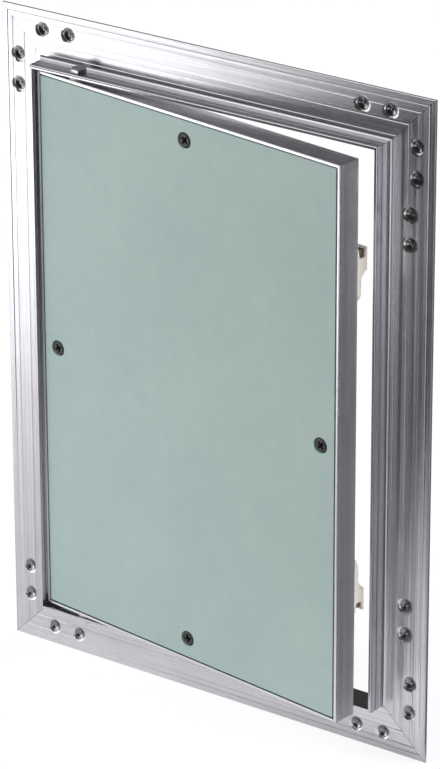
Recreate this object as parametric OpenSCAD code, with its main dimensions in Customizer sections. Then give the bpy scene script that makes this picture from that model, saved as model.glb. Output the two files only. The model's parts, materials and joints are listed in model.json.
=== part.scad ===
// Ceiling access panel. A mitred aluminium frame sits behind the ceiling board with its rim
// lining the cut-out. A leaf filled with plasterboard turns in it on two pivot bolts and is
// held shut by two push latches.
// The panel stands upright with the leaf ajar: X across, Y from front to back, Z up.
// The origin is the centre of the opening, on the front plane of the flange.

/* [Opening] */
// Clear width between the rim walls
opening_w = 206; // [160:1:600]
// Clear height between the rim walls
opening_h = 300; // [260:1:800]

/* [Frame profile] */
// Width of the flange, from its outer edge to the rim
flange_w = 25.4; // [24:0.2:36]
// Thickness of the flange
flange_t = 1.4; // [1.2:0.1:2]
// Height of the rim in front of the flange
rim_h = 11.5; // [10:0.5:15]
// Thickness of the rim wall
rim_t = 1.6; // [1.4:0.1:2.4]
// Depth of the wall behind the front of the flange
wall_back = 4.4; // [4:0.2:14]
// Radius of the fillet between the flange and the rim
rim_fillet = 2; // [1:0.25:2.5]
// Radius of the front outer edge of the rim
rim_round = 0.9; // [0.3:0.1:1.2]
// Distance of the line on the rim wall from the front edge
rim_line = 4.4; // [3:0.2:6]
// Depth of the fine lengthwise grooves
groove_d = 0.25; // [0.2:0.05:0.4]
// Width of the fine lengthwise grooves
groove_w = 0.6; // [0.4:0.1:0.8]
// Distance of the outer groove from the outer edge
edge_groove = 3.5; // [3:0.1:4.4]
// Width of the lengthwise flutes
flute_w = 1.7; // [1.2:0.1:2]
// Depth of the lengthwise flutes
flute_d = 0.25; // [0.1:0.05:0.35]
// Distance of the rivet line from the outer edge
rivet_line = 10.1; // [9.8:0.1:11]
// Clear width of the track behind the flange
track_w = 13.4; // [13.2:0.1:14]
// Thickness of the two ribs of the track
rib_t = 1.2; // [1:0.1:1.6]
// Reach of the lips that hold plates in the track
lip_reach = 0.7; // [0.4:0.1:0.8]
// Thickness of the lips
lip_t = 0.8; // [0.6:0.1:1.2]

/* [Corner brackets and rivets] */
// Thickness of the brackets in the track
bracket_t = 2; // [1.5:0.1:3]
// Distance of the first rivet from the outer corner
rivet_first = 25.6; // [24:0.2:30]
// Distance between the two rivets of a leg
rivet_pitch = 16.2; // [12:0.2:24]
// Length of a leg past its last rivet
bracket_end = 7; // [5:0.5:12]
// Radius of the rivet seat at the front of the flange
seat_r = 4.1; // [3.6:0.1:4.2]
// Radius of the roll round the mouth of a rivet seat
seat_roll = 2.2; // [1.6:0.1:2.4]
// Radius of the rivet shank
rivet_r = 2; // [1.6:0.1:2.2]
// Radius of the upset end of a rivet
rivet_tail_r = 2.5; // [2.3:0.1:2.6]

/* [Leaf] */
// Thickness of the plasterboard
board_t = 12.5; // [9.5:0.5:15]
// Gap between the leaf and the rim
gap = 1.5; // [1.3:0.1:2.5]
// Thickness of the side wall of the leaf profile
leaf_t = 1.5; // [1:0.1:1.8]
// Thickness of the lip behind the board
leaf_lip_t = 1.2; // [1:0.1:2]
// Width of the lip behind the board
leaf_lip_w = 20; // [17:0.5:28]
// Gap between the edge of the board and the profile
board_gap = 0.9; // [0.2:0.1:1.2]
// Distance of the side screws from the side of the leaf
screw_inset_x = 11.3; // [10:0.1:13]
// Distance of the end screws from the end of the leaf
screw_inset_z = 12.6; // [10:0.1:13]
// Radius of the head of a board screw
screw_head_r = 4.3; // [4:0.1:4.5]
// Length of a board screw
screw_len = 19; // [17:0.5:25]
// Length of a leg of the corner plates
leaf_plate_leg = 31; // [28:0.5:33]
// Width of a leg of the corner plates
leaf_plate_w = 13; // [10:0.5:14]
// Thickness of the corner plates
leaf_plate_t = 1.5; // [1:0.1:2]

/* [Pivots] */
// Distance of the pivot axis from the left rim wall
pivot_inset = 25.5; // [18:0.5:30]
// Distance of the pivot axis behind the front of the leaf
pivot_depth = 5.6; // [5.2:0.1:6]
// Diameter of the pivot bolt
pivot_d = 5; // [4:0.1:5.4]
// Width of the bolt head across its flats
bolt_head = 7.4; // [7:0.1:7.4]
// Height of the bolt head
bolt_head_h = 2.2; // [1.5:0.1:3]
// Depth that the bolt reaches into the leaf
pivot_reach = 7; // [5:0.5:10]
// Wall of the pivot bush
bush_wall = 1.4; // [1:0.1:1.6]
// Angle that the leaf stands open
ajar = 7.6; // [0:0.1:90]

/* [Latches] */
// Distance of the upper latch from the top of the opening
latch_top = 55; // [52:0.5:70]
// Distance of the lower latch from the bottom of the opening
latch_bottom = 63; // [52:0.5:70]
// Gap between the latch and the side of the leaf
latch_edge = 0.8; // [0.4:0.1:3]
// Width of the latch block
block_w = 13; // [12:0.5:15]
// Height of the latch block
block_h = 12; // [11:0.5:14]
// Depth of the latch block behind the leaf
block_d = 7.6; // [7:0.2:10]
// Wall of the latch block
block_wall = 1.2; // [0.9:0.1:1.4]
// Thickness of the latch foot
foot_t = 4; // [3:0.1:5]
// Thickness of the latch tail
tail_t = 1.3; // [1:0.1:2]
// Length of the foot below the block
foot_len = 17; // [15:0.5:18]
// Length of the tail above the block
tail_len = 11; // [10:0.5:12]
// Distance that the jaw stands out of the block
jaw_out = 1.2; // [0.6:0.1:2]
// Depth of the socket in the jaw
socket_d = 3; // [2.4:0.1:3.4]
// Travel of the jaw when it is pushed
jaw_travel = 2.6; // [1.5:0.1:2.6]
// Distance of the keeper rivet line from the outer edge
keeper_line = 13.3; // [13:0.1:13.5]
// Distance between the two keeper rivets
keeper_pitch = 15.6; // [14:0.2:20]
// Distance of the keeper rivets past the latch
keeper_shift = 13.4; // [13:0.2:18]

/* [Hidden] */
$fn = 48;

aluminium = "#c6c7cb";
zinc = "#a9adb3";
board_green = "#a3bbb4";
screw_black = "#1d1d1f";
latch_cream = "#e9e4da";
jaw_brown = "#6e6158";
nylon = "#d8d6d0";

// Clearances: around a pin that turns, around a fixed shank, beside a plate in its track,
// around a sliding jaw, and between parts that pass each other
turn_clear = 0.05;
shank_clear = 0.05;
track_clear = 0.15;
slide_clear = 0.2;
pass_clear = 0.3;
cut = 1;

// Frame
outer_w = opening_w + 2 * (rim_t + flange_w);
outer_h = opening_h + 2 * (rim_t + flange_w);
wall_in = flange_w + rim_t;
edge_break = 0.3;
outer_gap = 2.8;
outer_flute = rivet_line - outer_gap;
inner_gap = 4.4;
inner_flute = rivet_line + inner_gap;
root_gap = 1.7;
root_flute = flange_w - rim_fillet - root_gap;
root_round = 1;
track_lo = rivet_line - track_w / 2;
track_hi = rivet_line + track_w / 2;
lip_v = flange_t + bracket_t + track_clear;
track_top = lip_v + lip_t;
bracket_lo = track_lo + track_clear;
bracket_hi = track_hi - track_clear;
bracket_leg = rivet_first + rivet_pitch + bracket_end;
bracket_chamfer = 2;
bracket_back = flange_t + bracket_t;
seat_step = 0.5;
seat_floor_r = rivet_r + seat_step;
rivet_stations = [rivet_first, rivet_first + rivet_pitch];

// Leaf, drawn shut and then turned to the angle that it stands at
leaf_w = opening_w - 2 * gap;
leaf_h = opening_h - 2 * gap;
leaf_front = -rim_h;
leaf_d = board_t + leaf_lip_t;
leaf_back = leaf_front + leaf_d;
board_inset = leaf_t + board_gap;
pivot_x = -opening_w / 2 + pivot_inset;
pivot_y = leaf_front + pivot_depth;
plate_gap = 0.7;
plate_inset = leaf_t + plate_gap;
plate_line = plate_inset + leaf_plate_w / 2;
plate_first = 6;
plate_end = 4;
plate_stations = [plate_line + plate_first, leaf_plate_leg - plate_end];
flush_r = 1.5;
flush_head_r = 2.2;
flush_cone = 0.75;
flush_sunk = 0.05;
flush_tail_r = 2.2;
flush_tail_h = 0.8;
screw_r = 1.75;
screw_sunk = 0.2;
screw_edge = 0.6;
screw_point = 5;
bugle_v = 4.4;
bush_r = pivot_d / 2 + turn_clear + bush_wall;
bush_rim = 0.8;
bush_end = 1;
bush_len = pivot_reach + bush_end;
bush_flange_t = gap - pass_clear;

// Latches
latch_x = leaf_w / 2 - latch_edge - block_w / 2;
latch_z = [opening_h / 2 - latch_top, -opening_h / 2 + latch_bottom];
block_floor = 1.2;
jaw_w = block_w - 2 * (block_wall + slide_clear);
jaw_h = block_h - 2 * (block_wall + slide_clear);
jaw_from = block_floor + slide_clear + jaw_travel;
jaw_to = block_d + jaw_out;
socket_r = 2.6;
spring_pocket = 0.9;
spring_r = 2.1;
spring_top_r = 0.5;
spring_wire = 0.5;
spring_turns = 3;
pocket_r = spring_r + spring_wire / 2 + slide_clear;
foot_step = 0.5;
foot_r = block_w / 2 - foot_step;
foot_rivet = block_h / 2 + foot_len - foot_r;
tail_end = 5;
tail_rivet = block_h / 2 + tail_len - tail_end;
keeper_t = 2;
keeper_end = 5;
arm_gap = 0.5;
jaw_gap = 1;
arm_v = max(wall_back + arm_gap, leaf_back + jaw_to + jaw_gap);
arm_w = 9;
arm_shift = -2.5;
arm_bend = 1;
arm_out = track_hi - lip_reach - track_clear - keeper_t;
arm_tip = 4.5;
arm_end = outer_w / 2 - latch_x + arm_tip;
striker_r = 1.4;
striker_head_r = 2;
striker_collar_r = 2.4;
striker_tip = leaf_back + jaw_to - socket_d + pass_clear;

function arc(c, r, from, to, steps = 6) = [
    for (i = [0:steps])
        let (a = from + (to - from) * i / steps)
            c + r * [cos(a), sin(a)]
];

function vee(at) = [[at - groove_w / 2, 0], [at, groove_d], [at + groove_w / 2, 0]];

function flute(at) = [
    [at - flute_w / 2, 0],
    [at - flute_w / 2 + flute_d, flute_d],
    [at + flute_w / 2 - flute_d, flute_d],
    [at + flute_w / 2, 0]
];

// Section of the frame profile: distance from the outer edge, then depth behind the flange front
frame_section = concat(
    [[0, edge_break], [edge_break, 0]],
    vee(edge_groove),
    flute(outer_flute),
    flute(inner_flute),
    flute(root_flute),
    arc([flange_w - rim_fillet, -rim_fillet], rim_fillet, 90, 0),
    [
        [flange_w, -rim_h + rim_line + groove_w / 2],
        [flange_w + groove_d / 2, -rim_h + rim_line],
        [flange_w, -rim_h + rim_line - groove_w / 2]
    ],
    arc([flange_w + rim_round, -rim_h + rim_round], rim_round, 180, 270),
    [
        [wall_in, -rim_h],
        [wall_in, wall_back - edge_break],
        [wall_in - edge_break, wall_back],
        [flange_w, wall_back],
        [flange_w, flange_t + root_round],
        [flange_w - root_round, flange_t],
        [track_hi + rib_t, flange_t],
        [track_hi + rib_t, track_top],
        [track_hi - lip_reach, track_top],
        [track_hi - lip_reach, lip_v],
        [track_hi, lip_v],
        [track_hi, flange_t],
        [track_lo, flange_t],
        [track_lo, lip_v],
        [track_lo + lip_reach, lip_v],
        [track_lo + lip_reach, track_top],
        [track_lo - rib_t, track_top],
        [track_lo - rib_t, flange_t],
        [0, flange_t]
    ]
);

// Section of the leaf profile: distance from its outer face, then depth behind its front
leaf_section = [
    [edge_break, 0],
    [leaf_t, 0],
    [leaf_t, board_t],
    [leaf_lip_w, board_t],
    [leaf_lip_w, leaf_d],
    [edge_break, leaf_d],
    [0, leaf_d - edge_break],
    [0, edge_break]
];

// A length of profile along X with its outer edge at Z = 0 and both ends cut to a mitre
module mitred_bar(section, span) {
    reach = max([for (p = section) p[0]]);
    depth = max([for (p = section) abs(p[1])]) + cut;
    intersection() {
        rotate([90, 0, 90])
            linear_extrude(span, center = true)
                polygon([for (p = section) [p[1], p[0]]]);
        rotate([90, 0, 0])
            linear_extrude(2 * depth, center = true)
                polygon([
                    [-span / 2, 0],
                    [span / 2, 0],
                    [span / 2 - reach, reach],
                    [-span / 2 + reach, reach]
                ]);
    }
}

// Sides run 0 bottom, 1 right, 2 top, 3 left
module on_side(side, w, h) {
    translate([[0, w / 2, 0, -w / 2][side], 0, [-h / 2, 0, h / 2, 0][side]])
        rotate([0, [0, -90, 180, 90][side], 0])
            children();
}

// Corners run 0 bottom left, 1 bottom right, 2 top right, 3 top left
module at_corner(corner, w, h) {
    right = corner == 1 || corner == 2;
    upper = corner >= 2;
    translate([right ? w / 2 : -w / 2, 0, upper ? h / 2 : -h / 2])
        mirror([right ? 1 : 0, 0, 0])
            mirror([0, 0, upper ? 1 : 0])
                children();
}

// A flat plate drawn in X and Z, from depth y back by its thickness
module plate(y, t) {
    translate([0, y + t, 0])
        rotate([90, 0, 0])
            linear_extrude(t)
                children();
}

// A turned piece whose axis runs from front to back
module turned(points) {
    rotate([-90, 0, 0])
        rotate_extrude()
            polygon(points);
}

// The leaf and all that it carries, turned about the pivot axis
module leaf_pose() {
    translate([pivot_x, pivot_y, 0])
        rotate([0, 0, -ajar])
            translate([-pivot_x, -pivot_y, 0])
                children();
}

// Where the rivets of one leg stand, measured from the corner along a horizontal or upright side
module leg_places(w, h, line, stations, upright) {
    for (corner = [0:3])
        for (s = stations)
            at_corner(corner, w, h)
                translate(upright ? [line, 0, s] : [s, 0, line])
                    children();
}

module keeper_rivet_places() {
    for (i = [0, 1])
        for (half = [-0.5, 0.5])
            translate([
                outer_w / 2 - keeper_line,
                0,
                latch_z[i] + (i == 0 ? 1 : -1) * (keeper_shift + half * keeper_pitch)
            ])
                children();
}

// Pressed seat for a rivet in the flange: a cone with a roll round its mouth
module rivet_seat() {
    turn = 90 - atan((seat_r - seat_floor_r) / flange_t);
    mouth_r = seat_r + seat_roll * tan(turn / 2);
    turned(concat(
        [[0, -cut], [mouth_r, -cut]],
        arc([mouth_r, seat_roll], seat_roll, 270, 270 - turn, 5),
        [[seat_floor_r, flange_t], [seat_floor_r, flange_t + cut], [0, flange_t + cut]]
    ));
}

// Dished blind rivet that draws the flange and a plate of the track together
module rivet() {
    head_v = 0.7;
    head_r = seat_r - (seat_r - seat_floor_r) * head_v / flange_t - shank_clear;
    head_lip = 0.4;
    dish_d = 0.8;
    dish_v = flange_t + dish_d;
    dish_r = 1;
    stem_r = 0.7;
    stem_h = 0.6;
    tail_h = 1;
    tail_chamfer = [0.6, 0.4];
    turned([
        [0, dish_v - stem_h],
        [stem_r, dish_v - stem_h],
        [stem_r, dish_v],
        [dish_r, dish_v],
        [head_r - head_lip, head_v],
        [head_r, head_v],
        [seat_floor_r - shank_clear, flange_t],
        [rivet_r, flange_t],
        [rivet_r, bracket_back],
        [rivet_tail_r, bracket_back],
        [rivet_tail_r, bracket_back + tail_h - tail_chamfer[1]],
        [rivet_tail_r - tail_chamfer[0], bracket_back + tail_h],
        [0, bracket_back + tail_h]
    ]);
}

module frame_side(side) {
    level = side == 0 || side == 2;
    color(aluminium)
        difference() {
            on_side(side, outer_w, outer_h)
                mitred_bar(frame_section, level ? outer_w : outer_h);
            leg_places(outer_w, outer_h, rivet_line, rivet_stations, !level)
                rivet_seat();
            if (side == 1)
                keeper_rivet_places()
                    rivet_seat();
            if (level)
                translate([pivot_x, pivot_y, 0])
                    cylinder(d = pivot_d + 2 * shank_clear, h = outer_h, center = true);
        }
}

module frame_bottom() { frame_side(0); }
module frame_right() { frame_side(1); }
module frame_top() { frame_side(2); }
module frame_left() { frame_side(3); }

// Flat corner bracket that slides into the tracks of two sides
module corner_bracket(corner) {
    a = bracket_lo;
    b = bracket_hi;
    c = bracket_chamfer;
    leg = bracket_leg;
    color(zinc)
        at_corner(corner, outer_w, outer_h)
            plate(flange_t, bracket_t)
                difference() {
                    polygon([
                        [a, a], [leg - c, a], [leg, a + c], [leg, b - c], [leg - c, b],
                        [b, b], [b, leg - c], [b - c, leg], [a + c, leg], [a, leg - c]
                    ]);
                    for (s = rivet_stations) {
                        translate([s, rivet_line])
                            circle(rivet_r + shank_clear);
                        translate([rivet_line, s])
                            circle(rivet_r + shank_clear);
                    }
                }
}

module bracket_bottom_left() { corner_bracket(0); }
module bracket_bottom_right() { corner_bracket(1); }
module bracket_top_right() { corner_bracket(2); }
module bracket_top_left() { corner_bracket(3); }

module corner_rivets() {
    color(zinc)
        for (upright = [false, true])
            leg_places(outer_w, outer_h, rivet_line, rivet_stations, upright)
                rivet();
}

module keeper_rivets() {
    color(zinc)
        keeper_rivet_places()
            rivet();
}

// Puts a piece of the upper (0) or lower (1) latch in place, with its Z axis away from the middle
module at_latch(i) {
    translate([0, 0, latch_z[i]])
        mirror([0, 0, i])
            children();
}

// Cranked steel keeper: a foot in the track of the right side and an arm that comes round
// behind the wall to carry the striker
module keeper(i) {
    foot_to = keeper_shift + keeper_pitch / 2 + keeper_end;
    foot_from = arm_shift - arm_w / 2;
    bend = [arm_out + keeper_t + arm_bend, arm_v - arm_bend];
    arm = concat(
        [[arm_out, flange_t], [arm_out + keeper_t, flange_t]],
        arc(bend, arm_bend, 180, 90),
        [[arm_end, arm_v], [arm_end, arm_v + keeper_t]],
        arc(bend, arm_bend + keeper_t, 90, 180)
    );
    color(zinc)
        at_latch(i)
            difference() {
                union() {
                    translate([outer_w / 2 - bracket_hi, flange_t, foot_from])
                        cube([bracket_hi - bracket_lo, bracket_t, foot_to - foot_from]);
                    translate([0, 0, arm_shift])
                        linear_extrude(arm_w, center = true)
                            polygon([for (p = arm) [outer_w / 2 - p[0], p[1]]]);
                }
                for (half = [-0.5, 0.5])
                    translate([
                        outer_w / 2 - keeper_line,
                        flange_t - cut,
                        keeper_shift + half * keeper_pitch
                    ])
                        rotate([-90, 0, 0])
                            cylinder(r = rivet_r + shank_clear, h = bracket_t + 2 * cut);
                translate([latch_x, arm_v - cut, 0])
                    rotate([-90, 0, 0])
                        cylinder(r = striker_r + shank_clear, h = keeper_t + 2 * cut);
            }
}

module keeper_top() { keeper(0); }
module keeper_bottom() { keeper(1); }

// Turned striker, riveted through the arm of the keeper, that enters the jaw of the latch
module striker(i) {
    back = arm_v + keeper_t;
    nose = 0.7;
    land = 0.6;
    neck = striker_head_r - striker_r;
    collar_t = 0.6;
    dome_h = 0.8;
    dome_chamfer = 0.5;
    color(zinc)
        at_latch(i)
            translate([latch_x, 0, 0])
                turned([
                    [0, striker_tip],
                    [striker_head_r - nose, striker_tip],
                    [striker_head_r, striker_tip + nose],
                    [striker_head_r, striker_tip + nose + land],
                    [striker_r, striker_tip + nose + land + neck],
                    [striker_r, arm_v - collar_t],
                    [striker_collar_r, arm_v - collar_t],
                    [striker_collar_r, arm_v],
                    [striker_r, arm_v],
                    [striker_r, back],
                    [striker_collar_r, back],
                    [striker_collar_r - dome_chamfer, back + dome_h],
                    [0, back + dome_h]
                ]);
}

module striker_top() { striker(0); }
module striker_bottom() { striker(1); }

// Hexagon pivot bolt: its chamfered head stands on the outside of the rim, its shank turns in
// the bush
module pivot_bolt(i) {
    seat = opening_h / 2 + rim_t;
    tip = leaf_h / 2 - pivot_reach;
    corner_r = bolt_head / 2 / cos(30);
    crown_step = 0.2;
    crown_r = bolt_head / 2 - crown_step;
    chamfer_h = (corner_r - crown_r) * tan(30);
    color(zinc)
        mirror([0, 0, i])
            translate([pivot_x, pivot_y, 0]) {
                translate([0, 0, seat])
                    intersection() {
                        cylinder(r = corner_r, h = bolt_head_h, $fn = 6);
                        rotate_extrude()
                            polygon([
                                [0, 0],
                                [corner_r, 0],
                                [corner_r, bolt_head_h - chamfer_h],
                                [crown_r, bolt_head_h],
                                [0, bolt_head_h]
                            ]);
                    }
                translate([0, 0, tip])
                    cylinder(d = pivot_d, h = seat + bolt_head_h / 2 - tip);
            }
}

module pivot_bolt_top() { pivot_bolt(0); }
module pivot_bolt_bottom() { pivot_bolt(1); }

// Where the four board screws stand: bottom, right, top, left
module screw_places() {
    x = leaf_w / 2 - screw_inset_x;
    z = leaf_h / 2 - screw_inset_z;
    for (p = [[0, -z], [x, 0], [0, z], [-x, 0]])
        translate([p[0], leaf_front, p[1]])
            children();
}

// Outline of a bugle-headed board screw from its front to its tip, widened by a clearance
function screw_outline(c, front, tip) = concat(
    [[0, front], [screw_head_r + c, front], [screw_head_r + c, screw_edge]],
    arc([screw_head_r + screw_edge + c, bugle_v], screw_head_r + screw_edge - screw_r, 235, 180, 5),
    [[screw_r + c, screw_len - tip], [0, screw_len]]
);

// Flush rivet: its countersunk head lies in the lip under the board, its tail holds a plate
module flush_rivet(grip) {
    translate([0, leaf_front + board_t, 0])
        turned([
            [0, flush_sunk],
            [flush_head_r - shank_clear, flush_sunk],
            [flush_r, flush_cone],
            [flush_r, leaf_lip_t + grip],
            [flush_tail_r, leaf_lip_t + grip],
            [flush_tail_r, leaf_lip_t + grip + flush_tail_h / 2],
            [flush_r, leaf_lip_t + grip + flush_tail_h],
            [0, leaf_lip_t + grip + flush_tail_h]
        ]);
}

// Countersunk hole for a flush rivet through the lip
module flush_seat() {
    translate([0, leaf_front + board_t, 0])
        turned([
            [0, -cut],
            [flush_head_r, -cut],
            [flush_head_r, 0],
            [flush_r + shank_clear, flush_cone],
            [flush_r + shank_clear, leaf_lip_t + cut],
            [0, leaf_lip_t + cut]
        ]);
}

module latch_rivet_places(i, tail) {
    at_latch(i)
        translate([latch_x, 0, tail ? tail_rivet : -foot_rivet])
            children();
}

module leaf_side(side) {
    level = side == 0 || side == 2;
    color(aluminium)
        leaf_pose()
            difference() {
                translate([0, leaf_front, 0])
                    on_side(side, leaf_w, leaf_h)
                        mitred_bar(leaf_section, level ? leaf_w : leaf_h);
                leg_places(leaf_w, leaf_h, plate_line, plate_stations, !level)
                    flush_seat();
                screw_places()
                    rotate([-90, 0, 0])
                        cylinder(r = screw_r + shank_clear, h = leaf_d + cut);
                if (side == 1)
                    for (i = [0, 1])
                        for (tail = [false, true])
                            latch_rivet_places(i, tail)
                                flush_seat();
                if (level)
                    translate([pivot_x, pivot_y, 0])
                        cylinder(r = bush_r + shank_clear, h = 2 * leaf_h, center = true);
            }
}

module leaf_bottom() { leaf_side(0); }
module leaf_right() { leaf_side(1); }
module leaf_top() { leaf_side(2); }
module leaf_left() { leaf_side(3); }

// Corner plate riveted to the back of two lips of the leaf
module leaf_plate(corner) {
    a = plate_inset;
    b = plate_inset + leaf_plate_w;
    c = bracket_chamfer;
    leg = leaf_plate_leg;
    color(zinc)
        leaf_pose()
            at_corner(corner, leaf_w, leaf_h)
                plate(leaf_back, leaf_plate_t)
                    difference() {
                        polygon([
                            [a + c, a], [leg - c, a], [leg, a + c], [leg, b - c], [leg - c, b],
                            [b, b], [b, leg - c], [b - c, leg], [a + c, leg], [a, leg - c], [a, a + c]
                        ]);
                        for (s = plate_stations) {
                            translate([s, plate_line])
                                circle(flush_r + shank_clear);
                            translate([plate_line, s])
                                circle(flush_r + shank_clear);
                        }
                    }
}

module leaf_plate_bottom_left() { leaf_plate(0); }
module leaf_plate_bottom_right() { leaf_plate(1); }
module leaf_plate_top_right() { leaf_plate(2); }
module leaf_plate_top_left() { leaf_plate(3); }

module leaf_rivets() {
    color(zinc)
        leaf_pose()
            for (upright = [false, true])
                leg_places(leaf_w, leaf_h, plate_line, plate_stations, upright)
                    flush_rivet(leaf_plate_t);
}

module plasterboard() {
    w = leaf_w - 2 * board_inset;
    h = leaf_h - 2 * board_inset;
    color(board_green)
        leaf_pose()
            difference() {
                plate(leaf_front, board_t)
                    square([w, h], center = true);
                screw_places()
                    turned(screw_outline(shank_clear, -cut, 0));
                for (i = [0, 1])
                    mirror([0, 0, i])
                        translate([pivot_x, pivot_y, leaf_h / 2 - bush_len - pass_clear])
                            cylinder(r = bush_r + shank_clear, h = bush_len + cut);
            }
}

// Countersunk board screws with a cross recess
module board_screws() {
    recess_l = 5;
    recess_w = 1.1;
    recess_d = 2.4;
    color(screw_black)
        leaf_pose()
            screw_places()
                difference() {
                    turned(screw_outline(0, screw_sunk, screw_point));
                    for (turn = [0, 90])
                        rotate([0, turn + 45, 0])
                            translate([-recess_l / 2, -cut, -recess_w / 2])
                                cube([recess_l, recess_d + cut, recess_w]);
                }
}

// Flanged bush in the end of the leaf: the flange keeps the leaf clear of the rim
module pivot_bush(i) {
    color(nylon)
        leaf_pose()
            mirror([0, 0, i])
                translate([pivot_x, pivot_y, leaf_h / 2])
                    difference() {
                        union() {
                            translate([0, 0, -bush_len])
                                cylinder(r = bush_r, h = bush_len);
                            cylinder(r = bush_r + bush_rim, h = bush_flange_t);
                        }
                        translate([0, 0, -bush_len - cut])
                            cylinder(d = pivot_d + 2 * turn_clear, h = bush_len + bush_flange_t + 2 * cut);
                    }
}

module pivot_bush_top() { pivot_bush(0); }
module pivot_bush_bottom() { pivot_bush(1); }

// Moulded latch: a hollow block for the jaw, a rounded foot with a gusset, and a thin tail
module latch_block(i) {
    half = block_h / 2;
    gusset = block_d - foot_t;
    cavity_w = block_w - 2 * block_wall;
    cavity_h = block_h - 2 * block_wall;
    window_h = 5;
    window_in = 3;
    window_edge = 0.8;
    window_to = half + cut;
    window_from = half - window_h;
    window_lo = block_floor;
    window_hi = block_d - window_edge;
    window_taper = [1, 1.2];
    color(latch_cream)
        leaf_pose()
            at_latch(i)
                translate([latch_x, leaf_back, 0])
                    difference() {
                        union() {
                            translate([-block_w / 2, 0, -half])
                                cube([block_w, block_d, block_h]);
                            plate(0, foot_t) {
                                translate([-foot_r, -foot_rivet])
                                    square([2 * foot_r, foot_rivet]);
                                translate([0, -foot_rivet])
                                    circle(foot_r);
                            }
                            plate(0, tail_t)
                                translate([-foot_r, 0])
                                    square([2 * foot_r, half + tail_len]);
                            rotate([90, 0, 90])
                                linear_extrude(2 * foot_r, center = true)
                                    polygon([
                                        [0, 0],
                                        [block_d, -half],
                                        [foot_t, -half - gusset],
                                        [0, -half - gusset]
                                    ]);
                        }
                        translate([-cavity_w / 2, block_floor, -cavity_h / 2])
                            cube([cavity_w, block_d, cavity_h]);
                        translate([cavity_w / 2 - window_in, 0, 0])
                            rotate([90, 0, 90])
                                linear_extrude(window_in + block_wall + cut)
                                    polygon([
                                        [window_lo, window_to],
                                        [window_hi, window_to],
                                        [window_hi - window_taper[1], window_from],
                                        [window_lo + window_taper[0], window_from]
                                    ]);
                        for (z = [tail_rivet, -foot_rivet])
                            translate([0, -cut, z])
                                rotate([-90, 0, 0])
                                    cylinder(r = flush_r + shank_clear, h = foot_t + 2 * cut);
                    }
}

module latch_block_top() { latch_block(0); }
module latch_block_bottom() { latch_block(1); }

module latch_rivets() {
    color(zinc)
        leaf_pose()
            for (i = [0, 1]) {
                latch_rivet_places(i, true)
                    flush_rivet(tail_t);
                latch_rivet_places(i, false)
                    flush_rivet(foot_t);
            }
}

// Sliding jaw with a slotted socket for the striker and a pocket for its spring
module latch_jaw(i) {
    slot_w = 1.6;
    color(jaw_brown)
        leaf_pose()
            at_latch(i)
                translate([latch_x, leaf_back, 0])
                    difference() {
                        translate([-jaw_w / 2, jaw_from, -jaw_h / 2])
                            cube([jaw_w, jaw_to - jaw_from, jaw_h]);
                        translate([0, jaw_to - socket_d, 0])
                            rotate([-90, 0, 0])
                                cylinder(r = socket_r, h = socket_d + cut);
                        translate([-slot_w / 2, jaw_to - socket_d, -jaw_h])
                            cube([slot_w, socket_d + cut, 2 * jaw_h]);
                        translate([0, jaw_from - cut, 0])
                            rotate([-90, 0, 0])
                                cylinder(r = pocket_r, h = spring_pocket + cut);
                    }
}

module latch_jaw_top() { latch_jaw(0); }
module latch_jaw_bottom() { latch_jaw(1); }

// Conical spring between the floor of the block and the jaw, whose turns lie inside each other
// when it is pressed flat
module latch_spring(i) {
    sides = 6;
    steps = 20 * spring_turns;
    rise = jaw_from + spring_pocket - block_floor - spring_wire - 2 * turn_clear;
    wire_r = spring_wire / 2;
    rings = [
        for (k = [0:steps])
            let (a = 360 * spring_turns * k / steps)
                let (coil_r = spring_r + (spring_top_r - spring_r) * k / steps)
                    for (j = [0:sides - 1])
                        let (b = 360 * j / sides, r = coil_r + wire_r * cos(b))
                            [r * cos(a), rise * k / steps + wire_r * sin(b), r * sin(a)]
    ];
    walls = [
        for (k = [0:steps - 1])
            for (j = [0:sides - 1])
                let (n = (j + 1) % sides)
                    [k * sides + j, k * sides + n, (k + 1) * sides + n, (k + 1) * sides + j]
    ];
    first = [for (j = [0:sides - 1]) sides - 1 - j];
    last = [for (j = [0:sides - 1]) steps * sides + j];
    color(zinc)
        leaf_pose()
            at_latch(i)
                translate([latch_x, leaf_back + block_floor + wire_r + turn_clear, 0])
                    polyhedron(rings, concat([first, last], walls), convexity = 6);
}

module latch_spring_top() { latch_spring(0); }
module latch_spring_bottom() { latch_spring(1); }

frame_bottom();
frame_right();
frame_top();
frame_left();
bracket_bottom_left();
bracket_bottom_right();
bracket_top_right();
bracket_top_left();
corner_rivets();
keeper_top();
keeper_bottom();
keeper_rivets();
striker_top();
striker_bottom();
pivot_bolt_top();
pivot_bolt_bottom();
leaf_bottom();
leaf_right();
leaf_top();
leaf_left();
leaf_plate_bottom_left();
leaf_plate_bottom_right();
leaf_plate_top_right();
leaf_plate_top_left();
leaf_rivets();
plasterboard();
board_screws();
pivot_bush_top();
pivot_bush_bottom();
latch_block_top();
latch_block_bottom();
latch_rivets();
latch_jaw_top();
latch_jaw_bottom();
latch_spring_top();
latch_spring_bottom();
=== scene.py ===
import json
import math

import bmesh
import bpy
from mathutils import Euler, Matrix, Vector


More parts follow.
